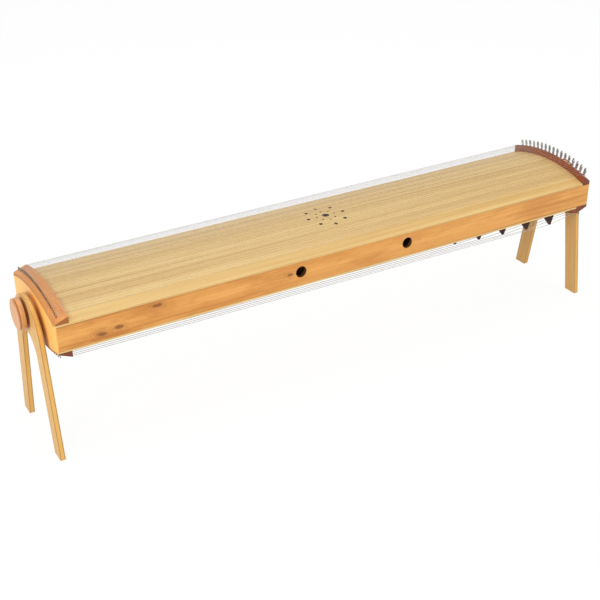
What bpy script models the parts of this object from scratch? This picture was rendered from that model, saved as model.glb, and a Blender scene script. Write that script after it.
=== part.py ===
"""Double-sided box zither that turns between two wishbone stands.

The sound box has an arched soundboard above and below. The upper one carries 34 thin strings,
the lower one 13 strings on movable bridges and 8 drone strings on one long bridge. A threaded
stud and a wooden knob at each end clamp the box in its stand. Metres, +Z up, +X along the box,
origin on the floor under the middle of the box. All shapes are worked out from the sizes below.
"""

import math

import bmesh
import bpy
from mathutils import Matrix

# Fits
GAP = 0.0003
TRIM = 0.003

# Sound box
BODY_LENGTH = 1.400
BODY_WIDTH = 0.262
EDGE_HEIGHT = 0.064
ARCH_RISE = 0.023
BOARD_THICKNESS = 0.004
SIDE_THICKNESS = 0.010
END_BLOCK_LENGTH = 0.042
CORNER_RADIUS = 0.004
PIVOT_HEIGHT = 0.300
HANG = 0.006

# Inner bracing
LINING_WIDTH = 0.008
LINING_HEIGHT = 0.009
BRACE_DEPTH = 0.014
BRACE_THICKNESS = 0.008
BRACE_PLACES = (-0.290, 0.290)

# Sound holes
ROSETTE_CENTRE_RADIUS = 0.0085
ROSETTE_RINGS = ((0.023, 0.0025), (0.046, 0.0045))
ROSETTE_COUNT = 8
SIDE_HOLE_RADIUS = 0.013
SIDE_HOLE_PLACES = (-0.1414, 0.1414)
SIDE_HOLE_LIFT = 0.003
SIDE_HOLE_CHAMFER = 0.0012

# End strips: the ridge's distance from the box's end, its height over the arch, and the height
# over the arch at the outer end
STRIP_MARGIN = 0.001
RIDGE_FLAT = 0.0015
TOP_LEFT_INSET, TOP_LEFT_HIGH, TOP_LEFT_LOW = 0.0305, 0.0130, 0.0025
TOP_RIGHT_INSET, TOP_RIGHT_HIGH, TOP_RIGHT_LOW = 0.0240, 0.0175, 0.0035
LOW_LEFT_INSET, LOW_LEFT_HIGH, LOW_LEFT_LOW = 0.0305, 0.0129, 0.0015
LOW_RIGHT_INSET, LOW_RIGHT_HIGH, LOW_RIGHT_LOW = 0.0360, 0.0128, 0.0010

# Pins, placed by their distance from the box's end
HITCH_RADIUS = 0.0010
HITCH_PROUD = 0.0080
HITCH_DEPTH = 0.0024
TOP_HITCH_INSET = 0.0100
LOW_HITCH_INSET = 0.0080
PIN_RADIUS = 0.0025
PIN_BURIED = 0.024
PIN_HEAD = 0.008
PIN_HEAD_TAPER = 0.75
TOP_PIN_TOP = 0.029
LOW_PIN_TOP = 0.019
TOP_PIN_INSETS = (0.0133, 0.0070)
LOW_PIN_INSET = 0.0160

# Strings
TOP_STRINGS = 34
TOP_PITCH = 0.007
TOP_STRING_RADIUS = 0.0003
KOTO_STRINGS = 13
KOTO_PITCH = 0.0124
KOTO_FIRST_Y = -0.1150
KOTO_STRING_RADIUS = 0.0005
DRONE_STRINGS = 8
DRONE_PITCH = 0.0098
DRONE_FIRST_Y = 0.0460
DRONE_STRING_RADIUS = 0.0004
STRING_CLEAR = 0.0010

# Movable bridges and the long drone bridge, placed from the lower right ridge
BRIDGE_HEIGHT = 0.024
BRIDGE_BASE = 0.030
BRIDGE_CREST = 0.003
BRIDGE_THICKNESS = 0.010
BRIDGE_FROM_RIDGE = 0.078
BRIDGE_STEP = 0.064
DRONE_BRIDGE_FROM_RIDGE = 0.064
DRONE_BRIDGE_WIDTH = 0.020
DRONE_BRIDGE_HEIGHT = 0.0165
DRONE_BRIDGE_MARGIN = 0.0052

# Stands: the arcs' centres lie under the pivot, the feet beside it
STAND_SPACE = 0.00825
STAND_THICKNESS = 0.012
STAND_TOP_RADIUS = 0.080
STAND_TOP_DROP = 0.044
STAND_ARCH_RADIUS = 0.050
STAND_ARCH_DROP = 0.094
FOOT_OUTER = 0.119
FOOT_INNER = 0.0835

# Pivot hardware
STUD_RADIUS = 0.005
STUD_CHAMFER = 0.0008
INSERT_RADIUS = 0.008
INSERT_LENGTH = 0.026
STUD_REACH = 0.022
BUSHING_RADIUS = 0.009
SPACER_RADIUS = 0.028
WASHER_RADIUS = 0.018
WASHER_THICKNESS = 0.0015
KNOB_RADIUS = 0.035
KNOB_RIM = 0.013
KNOB_DOME = 0.002
KNOB_ROUNDING = 0.003
KNOB_BOSS_RADIUS = 0.017
KNOB_BOSS = 0.0036
KNOB_BORE = 0.012

# Facets
ARCH_STEPS = 20
ROUND_STEPS = 24
FINE_STEPS = 32
PIN_SIDES = 6
CORNER_STEPS = 4

# Worked out
HALF_LENGTH = BODY_LENGTH / 2
HALF_WIDTH = BODY_WIDTH / 2
MIDDLE = PIVOT_HEIGHT - HANG
ARCH_RADIUS = (HALF_WIDTH ** 2 + ARCH_RISE ** 2) / (2 * ARCH_RISE)
ARCH_CENTRE = EDGE_HEIGHT / 2 + ARCH_RISE - ARCH_RADIUS
INNER_RADIUS = ARCH_RADIUS - BOARD_THICKNESS - GAP
BLOCK_INNER = HALF_LENGTH - END_BLOCK_LENGTH
SIDE_INNER = HALF_WIDTH - SIDE_THICKNESS
STRIP_END = HALF_LENGTH - STRIP_MARGIN
TOP_LEFT_RIDGE = TOP_LEFT_INSET - HALF_LENGTH
TOP_RIGHT_RIDGE = HALF_LENGTH - TOP_RIGHT_INSET
LOW_LEFT_RIDGE = LOW_LEFT_INSET - HALF_LENGTH
LOW_RIGHT_RIDGE = HALF_LENGTH - LOW_RIGHT_INSET
TOP_HITCH_X = TOP_HITCH_INSET - HALF_LENGTH
LOW_HITCH_X = LOW_HITCH_INSET - HALF_LENGTH
TOP_PIN_ROWS = [HALF_LENGTH - inset for inset in TOP_PIN_INSETS]
LOW_PIN_X = HALF_LENGTH - LOW_PIN_INSET
BRIDGE_FIRST_X = LOW_RIGHT_RIDGE - BRIDGE_FROM_RIDGE
DRONE_BRIDGE_X = LOW_RIGHT_RIDGE - DRONE_BRIDGE_FROM_RIDGE
STAND_TOP_CENTRE = PIVOT_HEIGHT - STAND_TOP_DROP
STAND_ARCH_CENTRE = PIVOT_HEIGHT - STAND_ARCH_DROP
STAND_OUT = STAND_SPACE + STAND_THICKNESS
WASHER_OUT = STAND_OUT + GAP + WASHER_THICKNESS
KNOB_BACK = WASHER_OUT + GAP
TOP, LOW = 1, -1
LEFT, RIGHT = -1, 1

# Local x, y and z of a flat outline become Y, Z and X, or X, Z and -Y
SECTION = Matrix(((0, 0, 1, 0), (1, 0, 0, 0), (0, 1, 0, 0), (0, 0, 0, 1)))
UPRIGHT = Matrix.Rotation(math.pi / 2, 4, "X")


def collection(name):
    made = bpy.data.collections.new(name)
    bpy.context.scene.collection.children.link(made)
    return made


def finish(name, colour, roughness, metallic=0.0):
    made = bpy.data.materials.new(name)
    made.use_nodes = True
    shader = made.node_tree.nodes["Principled BSDF"]
    shader.inputs["Base Color"].default_value = (*colour, 1)
    shader.inputs["Roughness"].default_value = roughness
    shader.inputs["Metallic"].default_value = metallic
    made.diffuse_color = (*colour, 1)
    return made


def pivot(name, place, parent=None):
    """An empty on a joint's axis, which its moving pieces hang from."""
    made = bpy.data.objects.new(name, None)
    made.matrix_world = place
    PARTS.objects.link(made)
    if parent:
        made.parent = parent
        made.matrix_parent_inverse = parent.matrix_basis.inverted()
    return made


def piece(name, mesh, place, material, carrier=None):
    made = bpy.data.objects.new(name, mesh)
    made.matrix_basis = place
    PARTS.objects.link(made)
    if carrier:
        made.parent = carrier
        made.matrix_parent_inverse = carrier.matrix_basis.inverted()
    if not mesh.materials:
        mesh.materials.append(material)
    return made


def baked(part):
    """The mesh of an object as its modifiers or its curve make it, welded."""
    bpy.context.view_layer.update()
    graph = bpy.context.evaluated_depsgraph_get()
    mesh = bpy.data.meshes.new_from_object(part.evaluated_get(graph))
    bm = bmesh.new()
    bm.from_mesh(mesh)
    bmesh.ops.remove_doubles(bm, verts=bm.verts, dist=0.00001)
    bmesh.ops.recalc_face_normals(bm, faces=bm.faces)
    bm.to_mesh(mesh)
    bm.free()
    return mesh


def flat(name, outline, thickness, place, material, carrier=None):
    """A flat outline with a thickness: a 2D curve extruded to both sides, made a mesh."""
    curve = bpy.data.curves.new(name, "CURVE")
    curve.dimensions = "2D"
    curve.fill_mode = "BOTH"
    curve.extrude = thickness / 2
    spline = curve.splines.new("POLY")
    spline.points.add(len(outline) - 1)
    for point, (x, y) in zip(spline.points, outline):
        point.co = (x, y, 0, 1)
    spline.use_cyclic_u = True
    guide = bpy.data.objects.new(name + "_outline", curve)
    PARTS.objects.link(guide)
    mesh = baked(guide)
    mesh.name = name
    bpy.data.objects.remove(guide)
    mesh.materials.clear()
    return piece(name, mesh, place, material, carrier)


def turned(name, profile, place, material, carrier=None, closed=False, steps=ROUND_STEPS):
    """A profile of (radius, height), down its outer side, turned about the local Z axis."""
    count = len(profile)
    edges = [(i, i + 1) for i in range(count - 1)]
    if closed:
        edges.append((count - 1, 0))
    mesh = bpy.data.meshes.new(name)
    mesh.from_pydata([(radius, 0, height) for radius, height in profile], edges, [])
    made = piece(name, mesh, place, material, carrier)
    screw = made.modifiers.new("turn", "SCREW")
    screw.axis = "Z"
    screw.steps = screw.render_steps = steps
    screw.use_merge_vertices = True
    screw.merge_threshold = 0.00001
    return made


def ring(name, outer, inner, low, high, place, material, carrier=None):
    profile = [(outer, high), (outer, low), (inner, low), (inner, high)]
    return turned(name, profile, place, material, carrier, closed=True)


def copies(name, pattern, places, material, carrier=None):
    """One object of equal separate solids: the pattern, which goes, at each place."""
    solid = baked(pattern)
    bpy.data.objects.remove(pattern)
    bm = bmesh.new()
    for place in places:
        start = len(bm.verts)
        bm.from_mesh(solid)
        bm.verts.ensure_lookup_table()
        bmesh.ops.transform(bm, matrix=place, verts=bm.verts[start:])
    mesh = bpy.data.meshes.new(name)
    bm.to_mesh(mesh)
    bm.free()
    return piece(name, mesh, Matrix.Identity(4), material, carrier)


def rods(name, radius, low, high, places, sides, material, carrier=None):
    """One object of separate round rods, each along the local Z of its place."""
    bm = bmesh.new()
    for place in places:
        middle = place @ Matrix.Translation((0, 0, (low + high) / 2))
        bmesh.ops.create_cone(bm, cap_ends=True, segments=sides, radius1=radius, radius2=radius,
                              depth=high - low, matrix=middle)
    mesh = bpy.data.meshes.new(name)
    bm.to_mesh(mesh)
    bm.free()
    return piece(name, mesh, Matrix.Identity(4), material, carrier)


def hidden(cutter):
    """Makes a piece a cutter."""
    PARTS.objects.unlink(cutter)
    CUTTERS.objects.link(cutter)
    cutter.hide_render = True
    cutter.display_type = "WIRE"
    return cutter


def boolean(part, cutter, operation="DIFFERENCE"):
    modifier = part.modifiers.new(cutter.name, "BOOLEAN")
    modifier.operation = operation
    modifier.solver = "EXACT"
    modifier.object = cutter


def on_arch(side, across, along=0.0, lift=0.0):
    """A place on an arched face: local +Z is the face's normal and +X the box's length."""
    angle = math.asin(across / ARCH_RADIUS)
    turn = -angle if side == TOP else math.pi + angle
    centre = Matrix.Translation((along, 0, MIDDLE + side * ARCH_CENTRE))
    return centre @ Matrix.Rotation(turn, 4, "X") @ Matrix.Translation((0, 0, ARCH_RADIUS + lift))


def at_end(end):
    """The pivot axis at one end face: local +Z points out of the box."""
    place = Matrix.Translation((end * HALF_LENGTH, 0, PIVOT_HEIGHT))
    return place @ Matrix.Rotation(end * math.pi / 2, 4, "Y")


def arc(radius, start, stop, steps, centre=(0.0, 0.0)):
    """Points on an arc, angles in radians from +X."""
    points = []
    for i in range(steps + 1):
        angle = start + (stop - start) * i / steps
        points.append((centre[0] + radius * math.cos(angle), centre[1] + radius * math.sin(angle)))
    return points


def arch_height(radius, across):
    """Height over the box's middle of a face of this radius about the arch's centre."""
    return ARCH_CENTRE + math.sqrt(radius ** 2 - across ** 2)


def arch_arc(radius, half_width, side):
    """The arched face's section from -Y to +Y, as (Y, height over the middle)."""
    half = math.asin(half_width / radius)
    upper = arc(radius, math.pi / 2 + half, math.pi / 2 - half, ARCH_STEPS, (0, ARCH_CENTRE))
    return [(y, side * z) for y, z in upper]


def along_box(start, stop):
    """Place of a section that runs from one X to another, and its length."""
    middle = Matrix.Translation(((start + stop) / 2, 0, MIDDLE))
    return middle @ SECTION, stop - start


def section_piece(name, outline, start, stop, material):
    place, length = along_box(start, stop)
    return flat(name, outline, length, place, material, SOUNDBOX)


def plan_cutter():
    """The box's outline from above, with rounded corners, as tall as the box and its strips."""
    outline = []
    for k, (x, y) in enumerate(((1, 1), (-1, 1), (-1, -1), (1, -1))):
        centre = (x * (HALF_LENGTH - CORNER_RADIUS), y * (HALF_WIDTH - CORNER_RADIUS))
        outline += arc(CORNER_RADIUS, k * math.pi / 2, (k + 1) * math.pi / 2, CORNER_STEPS, centre)
    place = Matrix.Translation((0, 0, MIDDLE))
    return hidden(flat("plan_outline", outline, 2 * BODY_WIDTH, place, ALDER))


def strip(name, side, profile, material, across=None):
    """A strip with a section of (X, height over the arch) that follows the arched face."""
    low_y, high_y = across or (-HALF_WIDTH - TRIM, HALF_WIDTH + TRIM)
    if side == LOW:
        low_y, high_y = -high_y, -low_y
    start = math.asin(low_y / ARCH_RADIUS)
    sweep = math.asin(high_y / ARCH_RADIUS) - start
    bm = bmesh.new()
    verts = [bm.verts.new((x, 0, ARCH_RADIUS + lift)) for x, lift in profile]
    edges = [bm.edges.new((verts[i - 1], verts[i])) for i in range(len(verts))]
    bmesh.ops.rotate(bm, verts=verts, cent=(0, 0, 0), matrix=Matrix.Rotation(-start, 3, "X"))
    steps = max(4, round(ARCH_STEPS * sweep / (2 * math.asin(HALF_WIDTH / ARCH_RADIUS))))
    bmesh.ops.spin(bm, geom=verts + edges, cent=(0, 0, 0), axis=(1, 0, 0), angle=-sweep, steps=steps)
    bmesh.ops.holes_fill(bm, edges=[edge for edge in bm.edges if edge.is_boundary], sides=0)
    bmesh.ops.recalc_face_normals(bm, faces=bm.faces)
    mesh = bpy.data.meshes.new(name)
    bm.to_mesh(mesh)
    bm.free()
    place = Matrix.Translation((0, 0, MIDDLE + side * ARCH_CENTRE))
    if side == LOW:
        place = place @ Matrix.Rotation(math.pi, 4, "X")
    return piece(name, mesh, place, material, SOUNDBOX)


def strip_profile(ridge, high, low, base):
    """An end strip's section: upright inner face, narrow ridge, slope to the outer end."""
    out = math.copysign(1, ridge)
    end = out * (STRIP_END + TRIM)
    drop = (high - low) * TRIM / (STRIP_END - abs(ridge) - RIDGE_FLAT)
    slope_top = ridge + out * RIDGE_FLAT
    return [(ridge, base), (ridge, high), (slope_top, high), (end, low - drop), (end, base)]


def slope_height(ridge, high, low, x):
    """Height over the arch of an end strip's slope at X."""
    span = STRIP_END - abs(ridge) - RIDGE_FLAT
    return low + (high - low) * (STRIP_END - abs(x)) / span


def soundboards():
    stop_top = TOP_RIGHT_RIDGE - GAP
    stop_low = LOW_RIGHT_RIDGE - GAP
    for name, side, stop in (("top_soundboard", TOP, stop_top), ("bottom_soundboard", LOW, stop_low)):
        outer = arch_arc(ARCH_RADIUS, HALF_WIDTH + TRIM, side)
        inner = arch_arc(ARCH_RADIUS - BOARD_THICKNESS, HALF_WIDTH + TRIM, side)
        board = section_piece(name, outer + inner[::-1], -HALF_LENGTH - TRIM, stop, SPRUCE)
        boolean(board, PLAN, "INTERSECT")
        if side == TOP:
            boolean(board, rosette_cutter())


def rosette_cutter():
    """Rings of round holes about a larger one, through the upper board's crest."""
    crest = MIDDLE + ARCH_CENTRE + ARCH_RADIUS
    low, high = crest - 2 * BOARD_THICKNESS - ARCH_RISE / 4, crest + BOARD_THICKNESS
    bm = bmesh.new()
    holes = [(0.0, 0.0, ROSETTE_CENTRE_RADIUS)]
    for ring_radius, hole_radius in ROSETTE_RINGS:
        for k in range(ROSETTE_COUNT):
            angle = 2 * math.pi * k / ROSETTE_COUNT
            holes.append((ring_radius * math.cos(angle), ring_radius * math.sin(angle), hole_radius))
    for x, y, radius in holes:
        place = Matrix.Translation((x, y, (low + high) / 2))
        bmesh.ops.create_cone(bm, cap_ends=True, segments=ROUND_STEPS // 2, radius1=radius,
                              radius2=radius, depth=high - low, matrix=place)
    mesh = bpy.data.meshes.new("rosette_holes")
    bm.to_mesh(mesh)
    bm.free()
    return hidden(piece("rosette_holes", mesh, Matrix.Identity(4), SPRUCE))


def sides():
    for name, y_sign in (("near_side", -1), ("far_side", 1)):
        inner, outer = SIDE_INNER, HALF_WIDTH
        z_in, z_out = arch_height(INNER_RADIUS, inner), arch_height(INNER_RADIUS, outer)
        outline = [(inner, -z_in), (outer, -z_out), (outer, z_out), (inner, z_in)]
        outline = [(y_sign * y, z) for y, z in outline]
        reach = BLOCK_INNER - GAP
        board = section_piece(name, outline, -reach, reach, ALDER)
        for k, x in enumerate(SIDE_HOLE_PLACES):
            mouth = SIDE_HOLE_RADIUS + SIDE_HOLE_CHAMFER + TRIM
            profile = [(0, TRIM), (mouth, TRIM), (SIDE_HOLE_RADIUS, -SIDE_HOLE_CHAMFER),
                       (SIDE_HOLE_RADIUS, -2 * SIDE_THICKNESS), (0, -2 * SIDE_THICKNESS)]
            place = Matrix.Translation((x, y_sign * HALF_WIDTH, MIDDLE + SIDE_HOLE_LIFT))
            place = place @ Matrix.Rotation(-y_sign * math.pi / 2, 4, "X")
            boolean(board, hidden(turned(f"{name}_hole_{k}", profile, place, ALDER)))


def linings():
    reach = BLOCK_INNER - GAP
    outer = SIDE_INNER - GAP
    inner = outer - LINING_WIDTH
    for y_name, y_sign in (("near", -1), ("far", 1)):
        for z_name, side in (("top", TOP), ("bottom", LOW)):
            z_out, z_in = arch_height(INNER_RADIUS, outer), arch_height(INNER_RADIUS, inner)
            outline = [(outer, z_out), (inner, z_in)]
            outline += [(y, z - LINING_HEIGHT) for y, z in reversed(outline)]
            outline = [(y_sign * y, side * z) for y, z in outline]
            section_piece(f"{y_name}_{z_name}_lining", outline, -reach, reach, INNER_WOOD)


def braces():
    half = SIDE_INNER - LINING_WIDTH - 2 * GAP
    for z_name, side in (("top", TOP), ("bottom", LOW)):
        outer = arch_arc(INNER_RADIUS, half, side)
        inner = arch_arc(INNER_RADIUS - BRACE_DEPTH, half, side)
        for k, x in enumerate(BRACE_PLACES, 1):
            section_piece(f"{z_name}_brace_{k}", outer + inner[::-1], x - BRACE_THICKNESS / 2,
                          x + BRACE_THICKNESS / 2, INNER_WOOD)


def end_blocks():
    blocks = {}
    upper = arch_arc(INNER_RADIUS, HALF_WIDTH + TRIM, TOP)
    lower = arch_arc(INNER_RADIUS, HALF_WIDTH + TRIM, LOW)
    for name, end in (("left_end_block", LEFT), ("right_end_block", RIGHT)):
        ends = sorted((end * BLOCK_INNER, end * (HALF_LENGTH + TRIM)))
        block = section_piece(name, upper + lower[::-1], *ends, ALDER)
        boolean(block, PLAN, "INTERSECT")
        bore = [(0, TRIM), (INSERT_RADIUS + GAP, TRIM), (INSERT_RADIUS + GAP, -INSERT_LENGTH - GAP),
                (0, -INSERT_LENGTH - GAP)]
        boolean(block, hidden(turned(f"{name}_bore", bore, at_end(end), ALDER)))
        blocks[end] = block
    return blocks


def string_places():
    top = [(i - (TOP_STRINGS - 1) / 2) * TOP_PITCH for i in range(TOP_STRINGS)]
    koto = [KOTO_FIRST_Y + i * KOTO_PITCH for i in range(KOTO_STRINGS)]
    drone = [DRONE_FIRST_Y + i * DRONE_PITCH for i in range(DRONE_STRINGS)]
    return top, koto, drone


def hitch_strip(name, side, ridge, rows, hitch_x, material):
    """A left end strip with its row of hitch pins, driven in and fused with it."""
    made = strip(name, side, strip_profile(*ridge, GAP), material)
    boolean(made, PLAN, "INTERSECT")
    places = [on_arch(side, y, hitch_x, slope_height(*ridge, hitch_x)) for y in rows]
    pins = rods(f"{name}_pins", HITCH_RADIUS, -HITCH_DEPTH, HITCH_PROUD, places, PIN_SIDES, STEEL)
    boolean(made, hidden(pins), "UNION")


def tuning_strip(name, side, ridge, rows, pin_top, block, wires, material):
    """A right end strip with its tuning pins, which reach down into the block, and their strings."""
    made = strip(name, side, strip_profile(*ridge, -BOARD_THICKNESS), material)
    boolean(made, PLAN, "INTERSECT")
    foot = -BOARD_THICKNESS - PIN_BURIED
    tip = PIN_RADIUS * PIN_HEAD_TAPER
    profile = [(0, pin_top), (tip, pin_top), (PIN_RADIUS, pin_top - PIN_HEAD), (PIN_RADIUS, foot), (0, foot)]
    pattern = turned(f"{name}_pin", profile, Matrix.Identity(4), STEEL, steps=PIN_SIDES)
    places = [on_arch(side, y, x) for y, x in rows]
    boolean(made, hidden(copies(f"{name}_pins", pattern, places, STEEL)), "UNION")
    boolean(made, hidden(wires), "UNION")
    bore, bore_foot = PIN_RADIUS + GAP, foot - GAP
    profile = [(0, pin_top), (bore, pin_top), (bore, bore_foot), (0, bore_foot)]
    pattern = turned(f"{name}_bore", profile, Matrix.Identity(4), STEEL, steps=PIN_SIDES)
    boolean(block, hidden(copies(f"{name}_bores", pattern, places, STEEL)))


def wire(name, radius, routes, material, carrier=None):
    """Strings of one thickness, each a tube through its points."""
    curve = bpy.data.curves.new(name, "CURVE")
    curve.dimensions = "3D"
    curve.bevel_depth = radius
    curve.bevel_resolution = 0
    curve.use_fill_caps = True
    for route in routes:
        spline = curve.splines.new("POLY")
        spline.points.add(len(route) - 1)
        for point, place in zip(spline.points, route):
            point.co = (*place, 1)
    guide = bpy.data.objects.new(name + "_route", curve)
    PARTS.objects.link(guide)
    mesh = baked(guide)
    mesh.name = name
    bpy.data.objects.remove(guide)
    return piece(name, mesh, Matrix.Identity(4), material, carrier)


def string_route(side, y, radius, hitch_x, left, supports, right, pin_x, fused=False):
    """A string's points: hitch pin, left ridge, supports, right ridge, tuning pin."""
    over = GAP + radius
    left_x = left[0] - RIDGE_FLAT
    right_x = right[0] + RIDGE_FLAT
    start_x = hitch_x + HITCH_RADIUS + 2 * GAP
    stop_x = pin_x - PIN_RADIUS - 2 * GAP
    stop_lift = slope_height(*right, stop_x) + STRING_CLEAR
    points = [(start_x, slope_height(*left, start_x) + STRING_CLEAR), (left_x, left[1] + over)]
    points += [(x, height + over) for x, height in supports]
    points += [(right_x, right[1] + over), (pin_x if fused else stop_x, stop_lift)]
    return [on_arch(side, y, x, lift).to_translation() for x, lift in points]


def stringing(block):
    """End strips, pins and strings of both faces."""
    top, koto, drone = string_places()
    top_left = (TOP_LEFT_RIDGE, TOP_LEFT_HIGH, TOP_LEFT_LOW)
    top_right = (TOP_RIGHT_RIDGE, TOP_RIGHT_HIGH, TOP_RIGHT_LOW)
    low_left = (LOW_LEFT_RIDGE, LOW_LEFT_HIGH, LOW_LEFT_LOW)
    low_right = (LOW_RIGHT_RIDGE, LOW_RIGHT_HIGH, LOW_RIGHT_LOW)
    hitch_strip("top_hitch_strip", TOP, top_left, top, TOP_HITCH_X, CHERRY)
    hitch_strip("bottom_hitch_strip", LOW, low_left, koto + drone, LOW_HITCH_X, PADAUK)

    rows = [(y, TOP_PIN_ROWS[i % 2]) for i, y in enumerate(top)]
    routes = [string_route(TOP, y, TOP_STRING_RADIUS, TOP_HITCH_X, top_left, [], top_right, x, True)
              for y, x in rows]
    wires = wire("top_strings", TOP_STRING_RADIUS, routes, STEEL)
    tuning_strip("top_tuning_strip", TOP, top_right, rows, TOP_PIN_TOP, block, wires, PADAUK)

    edge = DRONE_BRIDGE_X + DRONE_BRIDGE_WIDTH / 2
    support = [(edge, DRONE_BRIDGE_HEIGHT)]
    routes = [string_route(LOW, y, DRONE_STRING_RADIUS, LOW_HITCH_X, low_left, support, low_right,
                           LOW_PIN_X, True) for y in drone]
    wires = wire("drone_strings", DRONE_STRING_RADIUS, routes, BRONZE)
    rows = [(y, LOW_PIN_X) for y in koto + drone]
    tuning_strip("bottom_tuning_strip", LOW, low_right, rows, LOW_PIN_TOP, block, wires, PADAUK)

    for i, y in enumerate(koto):
        support = [(BRIDGE_FIRST_X - i * BRIDGE_STEP, GAP + BRIDGE_HEIGHT)]
        route = string_route(LOW, y, KOTO_STRING_RADIUS, LOW_HITCH_X, low_left, support, low_right,
                             LOW_PIN_X)
        wire(f"koto_string_{i + 1:02d}", KOTO_STRING_RADIUS, [route], STEEL, SOUNDBOX)


def bridges():
    _, koto, drone = string_places()
    half_base, half_crest = BRIDGE_BASE / 2, BRIDGE_CREST / 2
    outline = [(-half_base, 0), (half_base, 0), (half_crest, BRIDGE_HEIGHT), (-half_crest, BRIDGE_HEIGHT)]
    for i, y in enumerate(koto):
        place = on_arch(LOW, y, BRIDGE_FIRST_X - i * BRIDGE_STEP, GAP)
        flat(f"koto_bridge_{i + 1:02d}", outline, BRIDGE_THICKNESS, place @ UPRIGHT, ROSEWOOD, SOUNDBOX)
    half = DRONE_BRIDGE_WIDTH / 2
    profile = [(DRONE_BRIDGE_X - half, GAP), (DRONE_BRIDGE_X - half, DRONE_BRIDGE_HEIGHT),
               (DRONE_BRIDGE_X + half, DRONE_BRIDGE_HEIGHT), (DRONE_BRIDGE_X + half, GAP)]
    span = (drone[0] - DRONE_BRIDGE_MARGIN, drone[-1] + DRONE_BRIDGE_MARGIN)
    strip("drone_bridge", LOW, profile, ROSEWOOD, span)


def tangent_angle(centre_z, radius, foot_y):
    """Angle on an arc about (0, centre_z) where the line to the foot at (foot_y, 0) leaves it."""
    distance = math.hypot(foot_y, centre_z)
    return math.atan2(-centre_z, foot_y) + math.acos(radius / distance)


def stand_outline():
    """Wishbone, as (Y, height over the pivot): a round head and two straight legs."""
    outer = tangent_angle(STAND_TOP_CENTRE, STAND_TOP_RADIUS, FOOT_OUTER)
    inner = tangent_angle(STAND_ARCH_CENTRE, STAND_ARCH_RADIUS, FOOT_INNER)
    points = arc(STAND_TOP_RADIUS, math.pi - outer, outer, FINE_STEPS, (0, STAND_TOP_CENTRE))
    points += [(FOOT_OUTER, 0), (FOOT_INNER, 0)]
    points += arc(STAND_ARCH_RADIUS, inner, math.pi - inner, ROUND_STEPS, (0, STAND_ARCH_CENTRE))
    points += [(-FOOT_INNER, 0), (-FOOT_OUTER, 0)]
    return [(y, z - PIVOT_HEIGHT) for y, z in points]


def stand_and_knob(side_name, end, stand_carrier, knob_carrier):
    """A stand with its bushing, and the spacer, insert, washer, stud and knob on its axis."""
    stand_x = end * (HALF_LENGTH + STAND_SPACE + STAND_THICKNESS / 2)
    place = Matrix.Translation((stand_x, 0, PIVOT_HEIGHT)) @ SECTION
    board = flat(f"{side_name}_stand_board", stand_outline(), STAND_THICKNESS, place, STAND_WOOD,
                 stand_carrier)
    axis = at_end(end)
    bore = rods(f"{side_name}_stand_bore", BUSHING_RADIUS + GAP, -TRIM, STAND_OUT + TRIM, [axis],
                ROUND_STEPS, ALDER)
    boolean(board, hidden(bore))
    stud_bore = STUD_RADIUS + GAP
    ring(f"{side_name}_bushing", BUSHING_RADIUS, stud_bore, STAND_SPACE, STAND_OUT, axis, BRASS, stand_carrier)
    ring(f"{side_name}_spacer", SPACER_RADIUS, stud_bore, GAP, STAND_SPACE - GAP, axis, CHERRY, SOUNDBOX)
    ring(f"{side_name}_insert", INSERT_RADIUS, stud_bore, -INSERT_LENGTH, 0, axis, BRASS, SOUNDBOX)
    ring(f"{side_name}_washer", WASHER_RADIUS, stud_bore, STAND_OUT + GAP, WASHER_OUT, axis, LEATHER, knob_carrier)
    bore_end = KNOB_BACK + KNOB_BORE
    tip = STUD_RADIUS - STUD_CHAMFER
    stud_top = bore_end - GAP
    stud = [(0, stud_top), (tip, stud_top), (STUD_RADIUS, stud_top - STUD_CHAMFER),
            (STUD_RADIUS, STUD_CHAMFER - STUD_REACH), (tip, -STUD_REACH), (0, -STUD_REACH)]
    turned(f"{side_name}_stud", stud, axis, STEEL, knob_carrier)
    rim_back = KNOB_BACK + KNOB_BOSS
    rim_front = rim_back + KNOB_RIM
    edge = KNOB_RADIUS - KNOB_ROUNDING
    profile = [(0, rim_front + KNOB_DOME), (edge / 2, rim_front + KNOB_DOME * 0.75)]
    front, back = (edge, rim_front - KNOB_ROUNDING), (edge, rim_back + KNOB_ROUNDING)
    profile += arc(KNOB_ROUNDING, math.pi / 2, 0, CORNER_STEPS, front)
    profile += arc(KNOB_ROUNDING, 0, -math.pi / 2, CORNER_STEPS, back)
    profile += [(KNOB_BOSS_RADIUS, rim_back), (KNOB_BOSS_RADIUS, KNOB_BACK), (stud_bore, KNOB_BACK),
                (stud_bore, bore_end), (0, bore_end)]
    turned(f"{side_name}_knob", profile, axis, KNOB_WOOD, knob_carrier, steps=FINE_STEPS)


for old in list(bpy.data.objects):
    bpy.data.objects.remove(old)

PARTS = collection("double_sided_box_zither")
CUTTERS = collection("cutters")

SPRUCE = finish("soundboard_spruce", (0.66, 0.47, 0.27), 0.45)
ALDER = finish("body_alder", (0.62, 0.32, 0.11), 0.42)
STAND_WOOD = finish("stand_alder", (0.66, 0.40, 0.17), 0.48)
CHERRY = finish("strip_cherry", (0.58, 0.25, 0.09), 0.45)
PADAUK = finish("strip_padauk", (0.27, 0.06, 0.03), 0.42)
KNOB_WOOD = finish("knob_cherry", (0.62, 0.30, 0.15), 0.40)
ROSEWOOD = finish("bridge_rosewood", (0.05, 0.02, 0.015), 0.40)
INNER_WOOD = finish("inner_spruce", (0.68, 0.52, 0.33), 0.60)
STEEL = finish("steel", (0.62, 0.62, 0.62), 0.25, 1.0)
BRONZE = finish("bronze", (0.60, 0.42, 0.22), 0.30, 1.0)
BRASS = finish("brass", (0.72, 0.55, 0.25), 0.30, 1.0)
LEATHER = finish("washer_leather", (0.16, 0.08, 0.04), 0.70)

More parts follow.
